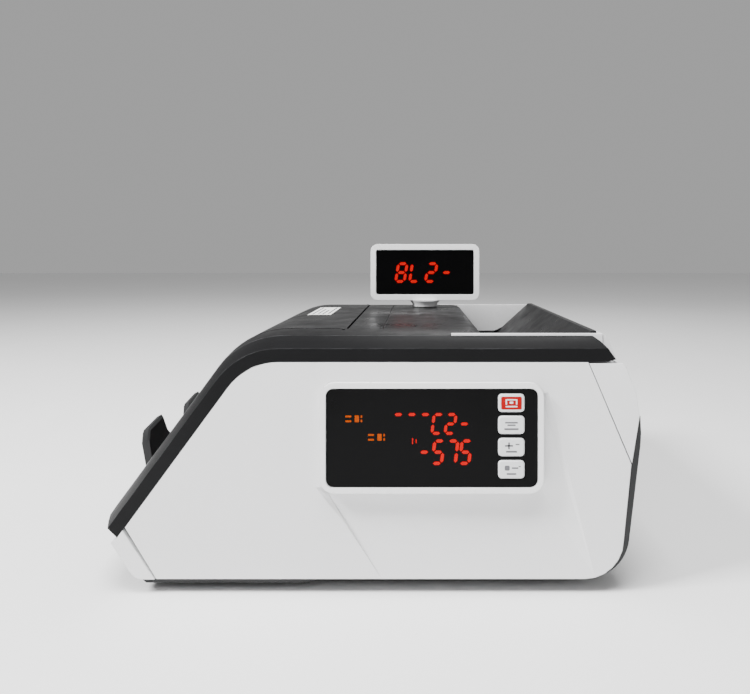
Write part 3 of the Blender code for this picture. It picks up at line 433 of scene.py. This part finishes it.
def key_legends():
    """A printed sign on each key; the first key also has a red face."""
    for k, marks in enumerate(KEY_SIGNS, 1):
        body = f"button_{k}"
        low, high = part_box(body)
        cx, cz, y = (low[0] + high[0]) / 2, (low[2] + high[2]) / 2, low[1]
        if k == 1:
            built = bmesh.new()
            prism(built, round_box((cx, cz), RED_FACE, 0.8 * MM), y, y - RED_RELIEF)
            piece("key_1_face", built, KEY_RED, body)
            y -= RED_RELIEF
        built = bmesh.new()
        for dx, dz, wide, tall in marks:
            radius = min(wide, tall) * 0.25 * MM
            loop = round_box((cx + dx * MM, cz + dz * MM), (wide * MM, tall * MM), radius, 3)
            prism(built, loop, y, y - PRINT_RELIEF)
        ink = PRINT_WHITE if k == 1 else PRINT_GREY
        piece(f"key_{k}_sign", built, ink, body)


# Lid label, in metres: x and y from and to, and how far paper and ink stand off the lid.
LABEL_X, LABEL_Y = (-0.0535, -0.036), (-0.007, 0.058)
LABEL_LIFT, INK_LIFT = 0.00012, 0.0002
LINE_X, LINE_STEP, LINE_WIDE = -0.0508, 0.0038, 0.0013   # first line, pitch and width
LINE_Y = (-0.003, 0.053)
SKY_Z = 0.3                           # height above everything, for the rays that find the lid


def lid_label():
    """Blank paper label stuck on the lid, with grey lines of uneven length where print would be."""
    lid = NODES["lid"]

    def on_lid(x, y, lift):
        _, place, *_ = lid.ray_cast(Vector((x, y, SKY_Z)), Vector((0.0, 0.0, -1.0)))
        return place + Vector((0.0, 0.0, lift))

    def patch(built, x0, x1, y0, y1, lift):
        across, along = 5, 10
        ys = [y0 + (y1 - y0) * j / along for j in range(along + 1)]
        grid = []
        for i in range(across + 1):
            x = x0 + (x1 - x0) * i / across
            grid.append([built.verts.new(on_lid(x, y, lift)) for y in ys])
        for i in range(across):
            for j in range(along):
                built.faces.new((grid[i][j], grid[i + 1][j], grid[i + 1][j + 1], grid[i][j + 1]))

    built = bmesh.new()
    patch(built, *LABEL_X, *LABEL_Y, LABEL_LIFT)
    piece("lid_label", built, LABEL, "lid")
    built = bmesh.new()
    for k in range(4):
        x = LINE_X + LINE_STEP * k
        start, stop = LINE_Y[0] + 0.004 * (k % 2), LINE_Y[1] - 0.011 * (k % 3)
        patch(built, x, x + LINE_WIDE, start, stop, INK_LIFT)
    piece("lid_label_lines", built, PRINT_GREY, "lid")


def inlet_blades():
    """Plated skins over the three blades in the mains inlet."""
    socket = Matrix.Translation(INLET_CENTRE) @ Matrix.Rotation(REAR_LEAN, 4, "Y")
    size = Matrix.Diagonal((*BLADE_SIZE, 1.0))
    built = bmesh.new()
    for dy, dz in BLADE_PLACES:
        at = Matrix.Translation((BLADE_DEPTH, dy * MM, dz * MM))
        bmesh.ops.create_cube(built, size=1.0, matrix=socket @ at @ size)
    piece("inlet_blades", built, BRASS, "casing")


def screw(name, place, axis, radius, body):
    """Cross-head screw seen from outside: a domed head with a cross cut in it."""
    built = bmesh.new()
    steps = ((1.0, -0.3), (1.0, 0.25), (0.82, 0.5), (0.5, 0.62))   # share of the radius, and rise
    dome = 0.45 * radius
    sides = 24
    turns = [2 * math.pi * i / sides for i in range(sides)]
    rings = []
    for share, up in steps:
        reach = share * radius
        ring = [(reach * math.cos(t), reach * math.sin(t), up * dome) for t in turns]
        rings.append([built.verts.new(p) for p in ring])
    for a, b in zip(rings, rings[1:]):
        for i in range(sides):
            j = (i + 1) % sides
            built.faces.new((a[i], a[j], b[j], b[i]))
    built.faces.new(rings[0])
    arm, waist, floor, top = 0.46 * radius, 0.11 * radius, -0.1 * radius, rings[-1][0].co.z
    cross = [(arm, waist), (waist, waist), (waist, arm), (-waist, arm), (-waist, waist), (-arm, waist),
             (-arm, -waist), (-waist, -waist), (-waist, -arm), (waist, -arm), (waist, -waist), (arm, -waist)]
    corners = len(cross)
    lip = [built.verts.new((x, y, top)) for x, y in cross]
    bed = [built.verts.new((x, y, floor)) for x, y in cross]
    for i in range(corners):
        j = (i + 1) % corners
        built.faces.new((lip[i], lip[j], bed[j], bed[i]))
    built.faces.new(bed)
    lip_edges = [built.edges.get((lip[i], lip[(i + 1) % corners])) for i in range(corners)]
    rim_edges = [built.edges.get((rings[-1][i], rings[-1][(i + 1) % sides])) for i in range(sides)]
    bmesh.ops.triangle_fill(built, edges=[*lip_edges, *rim_edges], use_beauty=True, normal=(0, 0, 1))
    turn = Vector((0, 0, 1)).rotation_difference(Vector(axis)).to_matrix().to_4x4()
    built.transform(Matrix.Translation(place) @ turn)
    piece(name, built, STEEL, body)


def fixings():
    """Screws that hold the rear cover and the base."""
    (_, y0, _), (_, y1, _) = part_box("rear_cover")
    inset, sink = 0.012, 0.0001
    outward = (math.cos(REAR_LEAN), 0.0, -math.sin(REAR_LEAN))
    corners = [(y, z) for z in (0.0335, 0.079) for y in (y0 + inset, y1 - inset)]
    for k, (y, z) in enumerate(corners, 1):
        x = REAR_FOOT_X + (z - REAR_FOOT_Z) * math.tan(REAR_LEAN)
        screw(f"rear_screw_{k}", Vector((x - sink, y, z)), outward, 0.0029, "casing")
    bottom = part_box("base_tray")[0][2]
    corners = [(x, y) for x in (-0.07, 0.06) for y in (-0.1, 0.104)]
    for k, (x, y) in enumerate(corners, 1):
        screw(f"base_screw_{k}", Vector((x, y, bottom + 0.0008)), (0.0, 0.0, -1.0), 0.003, "casing")


def studio():
    """Pale floor and soft light: overhead, a key from the front left, a low fill and one from behind."""
    built = bmesh.new()
    bmesh.ops.create_grid(built, x_segments=1, y_segments=1, size=6.0)
    mesh = bpy.data.meshes.new("floor")
    built.to_mesh(mesh)
    built.free()
    floor = bpy.data.objects.new("floor", mesh)
    g = Graph("floor_pale")
    pale, paler = (0.86, 0.86, 0.86, 1.0), (0.9, 0.9, 0.9, 1.0)
    g.feed(g.shader.inputs["Base Color"], g.mix(g.noise(3.0), pale, paler))
    g.feed(g.shader.inputs["Roughness"], g.remap(g.noise(20.0), 0.3, 0.7, 0.55, 0.65))
    mesh.materials.append(g.material)
    bpy.context.scene.collection.objects.link(floor)

    world = bpy.data.worlds.new("studio")
    world.use_nodes = True
    background = world.node_tree.nodes["Background"]
    background.inputs[0].default_value = (1.0, 1.0, 1.0, 1.0)
    background.inputs[1].default_value = 0.4
    bpy.context.scene.world = world
    lamps = (
        ("overhead", (0.0, -0.45, 1.5), (0.0, -0.1, 0.05), 0.7, 34.0),
        ("key", (-1.2, -0.55, 1.35), (0.0, -0.12, 0.08), 0.45, 60.0),
        ("fill", (1.3, -1.5, 0.7), (0.0, 0.0, 0.08), 0.9, 2.0),
        ("back", (0.3, 1.2, 1.2), (0.0, 0.0, 0.1), 0.8, 5.0),
    )
    for name, place, target, size, power in lamps:
        light = bpy.data.lights.new(name, "AREA")
        light.shape = "SQUARE"
        light.size = size
        light.energy = power
        lamp = bpy.data.objects.new(name, light)
        lamp.location = place
        aim = Vector(target) - Vector(place)
        lamp.rotation_euler = aim.to_track_quat("-Z", "Y").to_euler()
        bpy.context.scene.collection.objects.link(lamp)


def camera():
    """Looks straight along +Y from the operator's side, a little above the deck."""
    data = bpy.data.cameras.new("camera")
    data.lens, data.sensor_width = 29.57, 36.0
    data.shift_x, data.shift_y = -0.056, -0.123
    data.clip_start = 0.01
    made = bpy.data.objects.new("camera", data)
    made.location = (0.0291, -0.4705, 0.193)
    made.rotation_euler = (math.radians(90.0), 0.0, 0.0)
    bpy.context.scene.collection.objects.link(made)
    bpy.context.scene.camera = made


dress_nodes()
panel_digits()
head_digits()
key_legends()
lid_label()
inlet_blades()
fixings()
studio()
camera()
